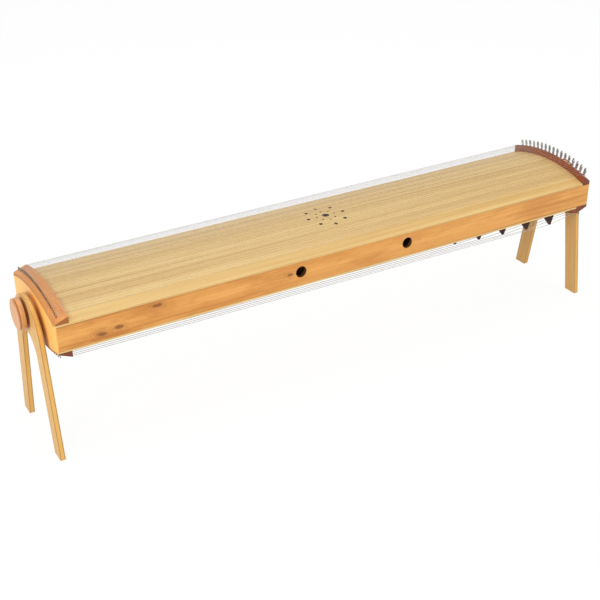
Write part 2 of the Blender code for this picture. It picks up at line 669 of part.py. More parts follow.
SOUNDBOX = pivot("soundbox_pivot", Matrix.Translation((0, 0, PIVOT_HEIGHT)))
LEFT_STAND = pivot("left_stand_pivot", at_end(LEFT))
RIGHT_STAND = pivot("right_stand_pivot", at_end(RIGHT))
LEFT_KNOB = pivot("left_knob_pivot", at_end(LEFT))
RIGHT_KNOB = pivot("right_knob_pivot", at_end(RIGHT))

PLAN = plan_cutter()
soundboards()
sides()
linings()
braces()
BLOCKS = end_blocks()
stringing(BLOCKS[RIGHT])
bridges()
stand_and_knob("left", LEFT, LEFT_STAND, LEFT_KNOB)
stand_and_knob("right", RIGHT, RIGHT_STAND, RIGHT_KNOB)
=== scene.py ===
import math

import bmesh
import bpy
from mathutils import Matrix, Vector

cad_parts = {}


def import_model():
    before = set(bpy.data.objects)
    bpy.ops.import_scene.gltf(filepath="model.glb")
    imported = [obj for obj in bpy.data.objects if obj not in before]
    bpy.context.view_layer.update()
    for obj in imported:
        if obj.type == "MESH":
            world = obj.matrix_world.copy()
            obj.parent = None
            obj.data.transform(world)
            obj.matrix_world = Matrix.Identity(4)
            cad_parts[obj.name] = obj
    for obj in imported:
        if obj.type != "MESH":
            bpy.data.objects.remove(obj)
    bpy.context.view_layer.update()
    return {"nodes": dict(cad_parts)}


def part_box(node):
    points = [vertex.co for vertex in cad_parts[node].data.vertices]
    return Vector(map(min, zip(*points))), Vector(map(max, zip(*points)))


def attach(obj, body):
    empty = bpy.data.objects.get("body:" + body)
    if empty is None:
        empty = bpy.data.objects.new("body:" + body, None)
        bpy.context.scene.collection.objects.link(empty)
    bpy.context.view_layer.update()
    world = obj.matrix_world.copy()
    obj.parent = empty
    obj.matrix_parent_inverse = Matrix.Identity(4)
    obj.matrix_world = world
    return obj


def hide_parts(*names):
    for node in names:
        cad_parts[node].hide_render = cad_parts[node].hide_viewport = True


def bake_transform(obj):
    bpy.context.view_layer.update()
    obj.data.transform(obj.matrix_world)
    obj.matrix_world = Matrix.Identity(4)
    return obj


# Looks of a double-sided box zither that turns between two wishbone stands.
# Metres, +Z up, +X along the box, origin on the floor under the middle of the box.

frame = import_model()

# Sound box, as the solids have it
HALF_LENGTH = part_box("right_end_block")[1].x
HALF_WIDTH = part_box("far_side")[1].y
MIDDLE = (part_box("top_soundboard")[1].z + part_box("bottom_soundboard")[0].z) / 2
PIVOT_HEIGHT = 0.300
EDGE_HEIGHT = 0.064
ARCH_RISE = 0.023
BOARD_THICKNESS = 0.004
SIDE_THICKNESS = 0.010
END_BLOCK_LENGTH = 0.042
CORNER_RADIUS = 0.004
GAP = 0.0003
TRIM = 0.003
ARCH_RADIUS = (HALF_WIDTH ** 2 + ARCH_RISE ** 2) / (2 * ARCH_RISE)
ARCH_CENTRE = EDGE_HEIGHT / 2 + ARCH_RISE - ARCH_RADIUS
INNER_RADIUS = ARCH_RADIUS - BOARD_THICKNESS - GAP
TOP, LOW = 1, -1
LEFT, RIGHT = -1, 1

# Sound holes
ROSETTE_CENTRE_RADIUS = 0.0085
ROSETTE_RINGS = ((0.023, 0.0025), (0.046, 0.0045))
ROSETTE_COUNT = 8
ROSETTE_SPREAD = 0.055
SIDE_HOLE_RADIUS = 0.013
SIDE_HOLE_PLACES = (-0.1414, 0.1414)
SIDE_HOLE_LIFT = 0.003
SIDE_HOLE_CHAMFER = 0.0012

# End strips: X of the ridge, its height over the arch, and that of the outer end
STRIP_MARGIN = 0.001
RIDGE_FLAT = 0.0015
TOP_LEFT = (0.0305 - HALF_LENGTH, 0.0130, 0.0025)
TOP_RIGHT = (HALF_LENGTH - 0.0240, 0.0175, 0.0035)
LOW_LEFT = (0.0305 - HALF_LENGTH, 0.0129, 0.0015)
LOW_RIGHT = (HALF_LENGTH - 0.0360, 0.0128, 0.0010)
STRIP_END = HALF_LENGTH - STRIP_MARGIN

# Pins and strings: coils are in radii of their string, and a string meets its pin at a share of the pin's
HITCH_RADIUS = 0.0010
HITCH_PROUD = 0.0080
TOP_HITCH_X = 0.0100 - HALF_LENGTH
LOW_HITCH_X = 0.0080 - HALF_LENGTH
PIN_RADIUS = 0.0025
PIN_HEAD = 0.008
PIN_HEAD_WIDTH = 0.0043
PIN_HEAD_TAPER = 0.75
PIN_FOOT = -0.003
TOP_PIN_TOP = 0.029
LOW_PIN_TOP = 0.019
TOP_PIN_ROWS = (HALF_LENGTH - 0.0133, HALF_LENGTH - 0.0070)
LOW_PIN_X = HALF_LENGTH - 0.0160
TOP_STRINGS, TOP_PITCH, TOP_STRING_RADIUS = 34, 0.007, 0.0003
KOTO_STRINGS, KOTO_PITCH, KOTO_FIRST_Y, KOTO_STRING_RADIUS = 13, 0.0124, -0.1150, 0.0005
DRONE_STRINGS, DRONE_PITCH, DRONE_FIRST_Y, DRONE_STRING_RADIUS = 8, 0.0098, 0.0460, 0.0004
STRING_CLEAR = 0.0010
COIL_TURNS = 3
COIL_PITCH = 2.1
COIL_SEAT = 0.8
STRING_MEETS_PIN = 0.6

# Bridges
BRIDGE_HEIGHT = 0.024
BRIDGE_BASE = 0.030
BRIDGE_CREST = 0.003
BRIDGE_THICKNESS = 0.010
BRIDGE_CREST_THICKNESS = 0.006
BRIDGE_ARCH_RADIUS = 0.009
BRIDGE_ARCH_HEIGHT = 0.003
DRONE_BRIDGE_X = LOW_RIGHT[0] - 0.064
DRONE_BRIDGE_WIDTH = 0.020
DRONE_BRIDGE_HEIGHT = 0.0165
DRONE_BRIDGE_MARGIN = 0.0052
DRONE_BRIDGE_ROUNDING = 0.0015

# Stands and knobs: a step of the dome is an inset and a rise
STAND_IN = 0.00825
STAND_OUT = 0.02025
LEG_SPLAY = 0.14
KNOB_RADIUS = 0.035
KNOB_RIM = 0.013
KNOB_ROUNDING = 0.003
KNOB_FRONT_ROUNDING = 0.006
KNOB_BOSS_RADIUS = 0.017
KNOB_BOSS = 0.0036
KNOB_DOME_STEPS = ((0.003, 0.0002), (0.008, 0.0009), (0.009, 0.0006), (0.006, 0.0002))
INSERT_BORE = 0.0083
INSERT_DEPTH = 0.0263

# Small roundings
BOARD_ARRIS = 0.0006
SMALL_ARRIS = 0.0004
STAND_ARRIS = 0.0010
ARCH_CUTS = 59

# Camera of the photograph
CAMERA_PLACE = (-1.2038, -1.9504, 1.3951)
CAMERA_TURN = (60.9986, 0.2874, -30.3414)
CAMERA_LENS = 65.2

# Studio: name, place, aim, size and power of each lamp, and the levels of world and paper
LAMPS = (("key", (-2.6, -2.4, 2.6), (-0.1, 0, 0.3), 1.8, 62),
         ("fill", (2.2, -2.8, 1.7), (0.1, 0, 0.3), 2.2, 24),
         ("overhead", (0.2, 0.6, 3.0), (0, 0, 0.3), 2.8, 26),
         ("end", (-3.2, -0.3, 0.5), (-0.7, 0, 0.3), 1.0, 18))
WORLD_LEVEL = 0.62
PAPER_LEVEL = 1.03
PAPER_SHARE = 0.90
FLOOR_SIZE = 60

# Near side: X, Z and radius of its knots, how much they stretch along it, where its figure fades
KNOTS = ((-0.6052, 0.2811, 0.0050), (-0.5683, 0.2863, 0.0044), (-0.4809, 0.3121, 0.0046),
         (-0.1704, 0.2975, 0.0034))
KNOT_STRETCH = 0.42
FIGURED_END = (-0.60, -0.40)


# Modelling

def deselect():
    bpy.ops.object.select_all(action="DESELECT")


def only(made):
    deselect()
    made.select_set(True)
    bpy.context.view_layer.objects.active = made
    return made


def added(name):
    """The primitive that was just added, named, with its place put into its mesh."""
    made = bpy.context.active_object
    made.name = made.data.name = name
    bpy.ops.object.transform_apply(location=True, rotation=True, scale=True)
    return made


def applied(made, kind, **settings):
    only(made)
    modifier = made.modifiers.new(kind, kind)
    for key, value in settings.items():
        setattr(modifier, key, value)
    bpy.ops.object.modifier_apply(modifier=modifier.name)
    return made


def editing(made):
    only(made)
    bpy.ops.object.mode_set(mode="EDIT")


def edited():
    """Ends edit mode with the faces pointing out."""
    bpy.ops.mesh.select_all(action="SELECT")
    bpy.ops.mesh.normals_make_consistent(inside=False)
    bpy.ops.object.mode_set(mode="OBJECT")


def pick(made, kind, test):
    """In edit mode, selects the edges or faces that pass a test."""
    bpy.ops.mesh.select_mode(type=kind)
    bpy.ops.mesh.select_all(action="DESELECT")
    bm = bmesh.from_edit_mesh(made.data)
    for part in bm.edges if kind == "EDGE" else bm.faces:
        if test(part):
            part.select_set(True)
    bmesh.update_edit_mesh(made.data)


def cut(made, cutter, operation="DIFFERENCE"):
    applied(made, "BOOLEAN", operation=operation, solver="EXACT", object=cutter)
    bpy.data.objects.remove(cutter)
    return made


def rounded(made, width, segments=3):
    return applied(made, "BEVEL", width=width, segments=segments, limit_method="ANGLE",
                   angle_limit=math.radians(35))


def smoothed(made, angle=40):
    only(made)
    bpy.ops.object.shade_smooth_by_angle(angle=math.radians(angle))
    return applied(made, "WEIGHTED_NORMAL", keep_sharp=True)


def joined(name, pieces):
    deselect()
    for made in pieces:
        made.select_set(True)
    bpy.context.view_layer.objects.active = pieces[0]
    bpy.ops.object.join()
    return added(name)


def copy_at(pattern, place):
    made = pattern.copy()
    made.data = pattern.data.copy()
    made.data.transform(place)
    bpy.context.scene.collection.objects.link(made)
    return made


def copies(name, pattern, places):
    """The pattern's own mesh at each place, as one piece."""
    made = joined(name, [copy_at(pattern, place) for place in places])
    bpy.data.objects.remove(pattern)
    return made


def cylinder(name, radius, depth, middle, axis="Z", sides=48, tip=None):
    deselect()
    turn = {"X": (0, math.pi / 2, 0), "Y": (math.pi / 2, 0, 0), "Z": (0, 0, 0)}[axis]
    bpy.ops.mesh.primitive_cone_add(vertices=sides, radius1=radius, radius2=radius if tip is None else tip,
                                    depth=depth, location=middle, rotation=turn)
    return added(name)


def block(name, low, high):
    deselect()
    low, high = Vector(low), Vector(high)
    bpy.ops.mesh.primitive_cube_add(size=1, location=(low + high) / 2, scale=high - low)
    return added(name)


def section_bar(name, points, travel):
    """A flat outline of points, extruded by a vector."""
    deselect()
    bpy.ops.mesh.primitive_circle_add(vertices=len(points), fill_type="NGON")
    made = added(name)
    for vertex, point in zip(made.data.vertices, points):
        vertex.co = point
    editing(made)
    bpy.ops.mesh.select_all(action="SELECT")
    bpy.ops.mesh.extrude_region_move(TRANSFORM_OT_translate={"value": travel})
    edited()
    return made


def on_arch(side, across, along=0.0, lift=0.0):
    """A place on an arched face: local +Z is the face's normal and +X the box's length."""
    angle = math.asin(across / ARCH_RADIUS)
    turn = -angle if side == TOP else math.pi + angle
    centre = Matrix.Translation((along, 0, MIDDLE + side * ARCH_CENTRE))
    return centre @ Matrix.Rotation(turn, 4, "X") @ Matrix.Translation((0, 0, ARCH_RADIUS + lift))


def arched(name, side, section, low_y, high_y, cuts=ARCH_CUTS):
    """A bar with a section of (X, height over the arch), laid across an arched face."""
    made = section_bar(name, [(x, low_y, lift) for x, lift in section], (0, high_y - low_y, 0))
    editing(made)
    pick(made, "EDGE", lambda edge: abs(edge.verts[0].co.y - edge.verts[1].co.y) > TRIM)
    bpy.ops.mesh.subdivide(number_cuts=cuts)
    bpy.ops.object.mode_set(mode="OBJECT")
    for vertex in made.data.vertices:
        vertex.co = on_arch(side, vertex.co.y, vertex.co.x, vertex.co.z).to_translation()
    editing(made)
    edited()
    return made


def plan_trimmed(made):
    """Cuts a piece to the box's outline from above, with its rounded corners."""
    outline = block("plan", (-HALF_LENGTH, -HALF_WIDTH, 0), (HALF_LENGTH, HALF_WIDTH, 2 * MIDDLE))
    editing(outline)
    pick(outline, "EDGE", lambda edge: abs(edge.verts[0].co.z - edge.verts[1].co.z) > MIDDLE)
    bpy.ops.mesh.bevel(offset=CORNER_RADIUS, segments=8, affect="EDGES")
    edited()
    return cut(made, outline, "INTERSECT")


def arch_section(radius, half_width, side, steps=ARCH_CUTS + 1):
    half = math.asin(half_width / radius)
    angles = [half * (2 * i / steps - 1) for i in range(steps + 1)]
    return [(radius * math.sin(a), MIDDLE + side * (ARCH_CENTRE + radius * math.cos(a))) for a in angles]


def finer_copy(node, arris=0.0, angle=40):
    """A solid's own shape with its doubles merged, flat faces joined and edges eased."""
    made = frame["nodes"][node].copy()
    made.data = made.data.copy()
    made.parent = None
    for key in list(made.keys()):
        if key.startswith("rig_"):
            del made[key]
    bpy.context.scene.collection.objects.link(made)
    made.name = made.data.name = node + "_finished"
    editing(made)
    bpy.ops.mesh.select_all(action="SELECT")
    bpy.ops.mesh.remove_doubles(threshold=0.00001)
    bpy.ops.mesh.customdata_custom_splitnormals_clear()
    bpy.ops.mesh.dissolve_limited(angle_limit=math.radians(0.5))
    edited()
    if arris:
        rounded(made, arris)
    return smoothed(made, angle)


def tube(name, radius, routes):
    """Strings: one mesh of tubes through their points."""
    curve = bpy.data.curves.new(name, "CURVE")
    curve.dimensions = "3D"
    curve.bevel_depth = radius
    curve.bevel_resolution = 1
    curve.use_fill_caps = True
    for route in routes:
        spline = curve.splines.new("POLY")
        spline.points.add(len(route) - 1)
        for point, place in zip(spline.points, route):
            point.co = (*place, 1)
    made = bpy.data.objects.new(name, curve)
    bpy.context.scene.collection.objects.link(made)
    only(made)
    bpy.ops.object.convert(target="MESH")
    made = bpy.context.active_object
    made.name = made.data.name = name
    editing(made)
    bpy.ops.mesh.select_all(action="SELECT")
    bpy.ops.mesh.remove_doubles(threshold=0.000001)
    edited()
    bpy.ops.object.shade_smooth_by_angle(angle=math.radians(60))
    return made


# Finishes

class Field:
    """A value over the surface. Sums and products of fields add their Math nodes."""

    def __init__(self, finish, socket):
        self.finish = finish
        self.socket = socket

    def math(self, operation, *others):
        return self.finish.node("ShaderNodeMath", {"operation": operation}, dict(enumerate((self, *others))))

    def __add__(self, other):
        return self.math("ADD", other)

    __radd__ = __add__

    def __sub__(self, other):
        return self.math("SUBTRACT", other)

    def __rsub__(self, other):
        return self * -1 + other

    def __mul__(self, other):
        return self.math("MULTIPLY", other)

    __rmul__ = __mul__

    def __truediv__(self, other):
        return self.math("DIVIDE", other)

    def __abs__(self):
        return self.math("ABSOLUTE")

    def larger(self, other):
        return self.math("MAXIMUM", other)

    def root(self):
        return self.math("SQRT")

    def sine(self):
        return self.math("SINE")

    def step(self, low, high):
        """0 below low, 1 above high, smooth between them."""
        values = {"Value": self, "From Min": low, "From Max": high}
        return self.finish.node("ShaderNodeMapRange", {"interpolation_type": "SMOOTHSTEP"}, values)


class Finish:
    """One material, built on its Principled BSDF."""

    def __init__(self, name, fixed=()):
        self.material = bpy.data.materials.new(name)
        self.material.use_nodes = True
        self.tree = self.material.node_tree
        self.shader = self.tree.nodes["Principled BSDF"]
        for key, value in dict(fixed).items():
            self.shader.inputs[key].default_value = value

    def node(self, kind, settings=None, sockets=None, output=0):
        made = self.tree.nodes.new(kind)
        for key, value in (settings or {}).items():
            setattr(made, key, value)
        for key, value in (sockets or {}).items():
            self.feed(made.inputs[key], value)
        return Field(self, made.outputs[output])

    def feed(self, socket, value):
        if isinstance(value, Field):
            self.tree.links.new(value.socket, socket)
        else:
            socket.default_value = value

    def place(self):
        """The three object coordinates as fields."""
        where = self.node("ShaderNodeTexCoord", output="Object")
        split = self.node("ShaderNodeSeparateXYZ", sockets={0: where}).socket.node
        return [Field(self, split.outputs[i]) for i in range(3)]

    def noise(self, x, y, z, detail=3.0, roughness=0.5):
        where = self.node("ShaderNodeCombineXYZ", sockets={0: x, 1: y, 2: z})
        values = {"Vector": where, "Scale": 1.0, "Detail": detail, "Roughness": roughness}
        return self.node("ShaderNodeTexNoise", sockets=values)

    def reach(self, first, second):
        """How far a place lies from where both coordinates are 0."""
        return (first * first + second * second).root()

    def mix(self, factor, first, second):
        ends = {0: factor}
        for index, colour in ((6, first), (7, second)):
            ends[index] = colour if isinstance(colour, Field) else (*colour, 1)
        return self.node("ShaderNodeMix", {"data_type": "RGBA"}, ends, output=2)

    def wear(self, colour, roughness=None, height=None, strength=0.3, distance=0.0002):
        """Feeds the shader: its colour, roughness and a bump."""
        self.feed(self.shader.inputs["Base Color"], colour)
        if roughness is not None:
            self.feed(self.shader.inputs["Roughness"], roughness)
        if height is not None:
            values = {"Strength": strength, "Distance": distance, "Height": height}
            self.feed(self.shader.inputs["Normal"], self.node("ShaderNodeBump", sockets=values))
        return self.material


def fibres(finish, along, across, deep, colours, wave, line, rings, streaks, flecks):
    """Timber's colour and its relief, with the fibres running along one field."""
    pale, middle, dark = colours
    bend = finish.noise(along * 2.2, across * 13, deep * 13, detail=2)
    across = across + (bend - 0.5) * wave
    fibre = finish.noise(along * 5, across / line, deep / line, detail=4, roughness=0.6)
    bands = finish.noise(along * 0.8, across * 55, deep * 55, detail=3)
    phase = finish.noise(along * 0.6, across * 26, deep * 26, detail=1)
    year = ((across / rings + phase * 2.6) * math.tau).sine().step(0.1, 1.0)
    streak = finish.noise(along * 0.7, across * 170, deep * 170, detail=2).step(0.58, 0.74)
    fleck = finish.noise(along * 55, across * 900, deep * 900, detail=1).step(0.66, 0.76)
    colour = finish.mix((bands * 0.7 + fibre * 0.3).step(0.30, 0.68), middle, pale)
    colour = finish.mix(year * 0.28, colour, middle)
    colour = finish.mix(streak * streaks, colour, dark)
    colour = finish.mix(fleck * flecks, colour, dark)
    return colour, fibre, fleck


SATIN = {"Coat Weight": 0.04, "Coat Roughness": 0.28, "Specular IOR Level": 0.35}


def soundboard_spruce():
    """Fine straight fibres; the end grain is darker and also carries a painted shadow, and the rosette holes'
    walls are painted near black as shade.
    """
    finish = Finish("soundboard_spruce", SATIN)
    x, y, z = finish.place()
    colours = ((0.785, 0.56, 0.232), (0.60, 0.37, 0.122), (0.42, 0.20, 0.052))
    colour, fibre, fleck = fibres(finish, x, y, z, colours, 0.0022, 0.0011, 0.0042, 0.60, 0.12)
    # The board's ends are darker: partly end grain, partly a painted shadow of the end strips above them.
    end_grain_and_shade = abs(x).step(HALF_LENGTH - BOARD_ARRIS * 1.5, HALF_LENGTH - BOARD_ARRIS / 2)
    colour = finish.mix(end_grain_and_shade * 0.85, colour, (0.40, 0.17, 0.045))
    # Painted shade: the walls of the rosette's holes are painted near black, for the shade inside the box.
    depth = ARCH_RADIUS - finish.reach(y, abs(z - MIDDLE) - ARCH_CENTRE)
    rosette = 1 - finish.reach(x, y).step(ROSETTE_SPREAD, ROSETTE_SPREAD + TRIM)
    shaded_hole_wall = depth.step(GAP, 3 * GAP) * rosette
    colour = finish.mix(shaded_hole_wall, colour, (0.020, 0.009, 0.004))
    return finish.wear(colour, 0.46 + fibre * 0.16 + shaded_hole_wall * 0.4, fibre - fleck * 0.4, 0.18)


def body_alder():
    """The sides run along the box, and the end faces across it."""
    finish = Finish("body_alder", SATIN)
    x, y, z = finish.place()
    # Painted shade: the walls of the side holes are painted dark brown, for the shade inside the box.
    from_hole = finish.reach(abs(x) - SIDE_HOLE_PLACES[1], z - MIDDLE - SIDE_HOLE_LIFT)
    bore = 1 - from_hole.step(SIDE_HOLE_RADIUS, SIDE_HOLE_RADIUS + GAP)
    figure = finish.noise(x * 7, z * 26, y * 5, detail=4, roughness=0.6).step(0.42, 0.68)
    wobble = finish.noise(x * 40, z * 110, y * 40, detail=3)
    end = abs(x).step(HALF_LENGTH - CORNER_RADIUS, HALF_LENGTH - CORNER_RADIUS / 4)
    along = x * (1 - end) + y * end
    deep = y * (1 - end) + x * end
    near = 1 - y.step(0.0, 0.01)
    knot = halo = None
    for knot_x, knot_z, radius in KNOTS:
        above = z - knot_z
        reach = finish.reach((x - knot_x) * KNOT_STRETCH, above) + (wobble - 0.5) * radius * 1.6
        z = z + above * (1 - reach.step(0.0, radius * 4.5)) * near * -0.60
        swirl = (reach / 0.0007 + wobble * 12).sine().step(0.0, 1.0)
        ring = (1 - reach.step(radius, radius * 3.5)) * near * (swirl * 0.8 + 0.2)
        halo = ring if halo is None else halo.larger(ring)
        heart = (1 - reach.step(radius * 0.45, radius * 1.25)) * near
        knot = heart if knot is None else knot.larger(heart)
    colours = ((0.84, 0.43, 0.115), (0.66, 0.28, 0.060), (0.36, 0.12, 0.024))
    colour, fibre, fleck = fibres(finish, along, z, deep, colours, 0.016, 0.0013, 0.0090, 0.55, 0.30)
    # Painted light: the end faces are painted a lighter honey, for the light that falls on them from the left
    # and front.
    colour = finish.mix(end * 0.80, colour, (0.97, 0.50, 0.13))
    figured = 0.80 - x.step(*FIGURED_END) * 0.30
    colour = finish.mix(figure * (1 - end) * figured, colour, (0.48, 0.165, 0.026))
    colour = finish.mix(halo * 0.45, colour, (0.28, 0.080, 0.017))
    colour = finish.mix(knot * 0.75, colour, (0.17, 0.048, 0.013))
    colour = finish.mix(bore * 0.9, colour, (0.055, 0.022, 0.010))
    return finish.wear(colour, 0.38 + fibre * 0.18, fibre - fleck * 0.5, 0.20)


def stand_alder():
    """Legs with the grain along them, honey on the edges and greyer on the broad faces, with painted shade
    along the rounded edges between them.
    """
    finish = Finish("stand_alder", SATIN)
    x, y, z = finish.place()
    across = abs(y) + z * LEG_SPLAY
    skin = 1.8 * STAND_ARRIS
    outer = abs(x).step(HALF_LENGTH + STAND_OUT - 1.6 * skin, HALF_LENGTH + STAND_OUT - skin / 4)
    inner = 1 - abs(x).step(HALF_LENGTH + STAND_IN + skin / 4, HALF_LENGTH + STAND_IN + 1.6 * skin)
    broad = outer.larger(inner)
    # Painted shade: a dark line along the rounded edges where the edge faces meet the broad faces.
    arris = broad * (1 - broad) * 4
    colours = ((0.77, 0.45, 0.115), (0.63, 0.325, 0.07), (0.36, 0.145, 0.03))
    colour, fibre, fleck = fibres(finish, z, across, x, colours, 0.007, 0.0012, 0.0060, 0.40, 0.25)
    grey = finish.mix(fibre.step(0.3, 0.7), (0.48, 0.30, 0.13), (0.60, 0.40, 0.19))
    colour = finish.mix(broad * 0.45, colour, grey)
    colour = finish.mix(arris * 0.80, colour, (0.27, 0.115, 0.035))
    return finish.wear(colour, 0.42 + fibre * 0.18, fibre - fleck * 0.4, 0.22)


def strip_timber(name, colours, end_grain_and_shade, streaks):
    """End strips run across the box; their cut ends are darker, partly as end grain and partly as painted
    shade.
    """
    finish = Finish(name, SATIN)
    x, y, z = finish.place()
    cut_end = abs(y).step(HALF_WIDTH - BOARD_ARRIS, HALF_WIDTH - BOARD_ARRIS / 4)
    colour, fibre, fleck = fibres(finish, y, x, z, colours, 0.004, 0.0010, 0.0048, streaks, 0.35)
    # Painted shade with the end grain: the cut ends get a darker colour.
    colour = finish.mix(cut_end * 0.85, colour, end_grain_and_shade)
    return finish.wear(colour, 0.36 + fibre * 0.18, fibre - fleck * 0.5, 0.20)


def knob_cherry():
    finish = Finish("knob_cherry", {"Coat Weight": 0.18, "Coat Roughness": 0.2, "Specular IOR Level": 0.4})
    x, y, z = finish.place()
    colours = ((0.68, 0.33, 0.115), (0.58, 0.24, 0.068), (0.39, 0.135, 0.036))
    colour, fibre, fleck = fibres(finish, z, y, x, colours, 0.006, 0.0011, 0.0050, 0.30, 0.30)
    return finish.wear(colour, 0.32 + fibre * 0.14, fibre - fleck * 0.4, 0.15)


def bridge_rosewood():
    finish = Finish("bridge_rosewood", {"Specular IOR Level": 0.25})
    x, y, z = finish.place()
    colours = ((0.060, 0.020, 0.012), (0.030, 0.010, 0.006), (0.009, 0.004, 0.003))
    colour, fibre, fleck = fibres(finish, x, y, z, colours, 0.003, 0.0008, 0.0024, 0.6, 0.5)
    return finish.wear(colour, 0.48 + fibre * 0.20, fibre - fleck * 0.5, 0.25)


def inner_spruce():
    finish = Finish("inner_spruce")
    x, y, z = finish.place()
    colours = ((0.72, 0.55, 0.35), (0.60, 0.42, 0.23), (0.42, 0.26, 0.12))
    colour, fibre, fleck = fibres(finish, x, y, z, colours, 0.003, 0.0012, 0.0030, 0.4, 0.2)
    return finish.wear(colour, 0.62 + fibre * 0.2, fibre - fleck * 0.4, 0.3)


def metal(name, pale, dull, roughness):
    """Steel, brass or bronze with faint brushing and duller patches."""
    finish = Finish(name, {"Metallic": 1.0})
    x, y, z = finish.place()
    stain = finish.noise(x * 160, y * 160, z * 160, detail=3).step(0.35, 0.70)
    brush = finish.noise(x * 600, y * 600, z * 2400, detail=2)
    colour = finish.mix(stain, dull, pale)
    return finish.wear(colour, roughness + brush * 0.18 + stain * 0.05, brush, 0.08, 0.00005)


def washer_leather():
    finish = Finish("washer_leather")
    x, y, z = finish.place()
    grain = finish.noise(x * 900, y * 900, z * 900, detail=4, roughness=0.65)
    colour = finish.mix(grain.step(0.3, 0.7), (0.10, 0.048, 0.024), (0.20, 0.10, 0.05))
    return finish.wear(colour, 0.60 + grain * 0.25, grain, 0.5)


CHERRY_COLOURS = ((0.71, 0.315, 0.092), (0.55, 0.205, 0.050), (0.33, 0.10, 0.024))
PADAUK_COLOURS = ((0.34, 0.090, 0.032), (0.22, 0.050, 0.019), (0.10, 0.023, 0.011))
FINISHES = {
    "soundboard_spruce": soundboard_spruce(),
    "body_alder": body_alder(),
    "stand_alder": stand_alder(),
    "strip_cherry": strip_timber("strip_cherry", CHERRY_COLOURS, (0.29, 0.082, 0.018), 0.35),
    "strip_padauk": strip_timber("strip_padauk", PADAUK_COLOURS, (0.15, 0.035, 0.014), 0.5),
    "knob_cherry": knob_cherry(),
    "bridge_rosewood": bridge_rosewood(),
    "inner_spruce": inner_spruce(),
    "steel": metal("steel", (0.82, 0.81, 0.79), (0.62, 0.61, 0.59), 0.24),
    "brass": metal("brass", (0.76, 0.58, 0.27), (0.55, 0.38, 0.15), 0.26),
    "washer_leather": washer_leather(),
}
DARK_STEEL = metal("pin_head_steel", (0.56, 0.545, 0.52), (0.27, 0.255, 0.24), 0.34)
HITCH_STEEL = metal("hitch_pin_steel", (0.36, 0.28, 0.21), (0.22, 0.165, 0.12), 0.42)
STRING_STEEL = metal("string_steel", (0.50, 0.49, 0.47), (0.34, 0.33, 0.31), 0.34)
BRONZE = metal("string_bronze", (0.66, 0.45, 0.24), (0.46, 0.28, 0.12), 0.28)


def dress(made, body, slot, *nodes):
    """Gives a piece its finish and its body, and hides the solids that it stands for."""
    made.data.materials.clear()
    made.data.materials.append(FINISHES[slot])
    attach(made, body)
    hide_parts(*nodes)


def carried(made, node):
    """Puts a piece that has its materials on the sound box, for one of its solids."""
    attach(made, "soundbox")
    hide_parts(node)


# Sound box

def rosette_cutter(crest):
    low, high = crest - ARCH_RISE / 2, crest + ARCH_RISE / 2
    holes = [(0.0, 0.0, ROSETTE_CENTRE_RADIUS)]
    for ring_radius, hole_radius in ROSETTE_RINGS:
        for k in range(ROSETTE_COUNT):
            angle = math.tau * k / ROSETTE_COUNT
            holes.append((ring_radius * math.cos(angle), ring_radius * math.sin(angle), hole_radius))
    middle = (low + high) / 2
    cutters = [cylinder("hole", radius, high - low, (x, y, middle), sides=40) for x, y, radius in holes]
    return joined("rosette_cutter", cutters)


def soundboards():
    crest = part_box("top_soundboard")[1].z
    for name, side, ridge in (("top_soundboard", TOP, TOP_RIGHT), ("bottom_soundboard", LOW, LOW_RIGHT)):
        ends = (-HALF_LENGTH - TRIM, ridge[0] - GAP)
        section = [(ends[0], -BOARD_THICKNESS), (ends[1], -BOARD_THICKNESS), (ends[1], 0), (ends[0], 0)]
        board = arched(name + "_finished", side, section, -HALF_WIDTH - TRIM, HALF_WIDTH + TRIM)
        rounded(plan_trimmed(board), BOARD_ARRIS)
        if side == TOP:
            cut(board, rosette_cutter(crest))
        dress(smoothed(board), "soundbox", "soundboard_spruce", name)


def sides():
    reach = HALF_LENGTH - END_BLOCK_LENGTH
    inner = HALF_WIDTH - SIDE_THICKNESS
    tall = {y: ARCH_CENTRE + math.sqrt(INNER_RADIUS ** 2 - y ** 2) for y in (inner, HALF_WIDTH)}
    for name, sign in (("near_side", -1), ("far_side", 1)):
        points = [(inner, tall[inner]), (HALF_WIDTH, tall[HALF_WIDTH]), (HALF_WIDTH, -tall[HALF_WIDTH]),
                  (inner, -tall[inner])]
        side = section_bar(name + "_finished", [(-reach, sign * y, MIDDLE + z) for y, z in points],
                           (2 * reach, 0, 0))
        for x in SIDE_HOLE_PLACES:
            middle = Vector((x, sign * (HALF_WIDTH - SIDE_THICKNESS / 2), MIDDLE + SIDE_HOLE_LIFT))
            cut(side, cylinder("hole", SIDE_HOLE_RADIUS, 2 * SIDE_THICKNESS, middle, "Y", 64))
            wide, narrow = SIDE_HOLE_RADIUS + 2 * SIDE_HOLE_CHAMFER, SIDE_HOLE_RADIUS
            mouth = Vector((x, sign * HALF_WIDTH, middle.z))
            radii = (narrow, wide) if sign < 0 else (wide, narrow)
            cut(side, cylinder("mouth", radii[0], 2 * SIDE_HOLE_CHAMFER, mouth, "Y", 64, tip=radii[1]))
        dress(smoothed(side), "soundbox", "body_alder", name)


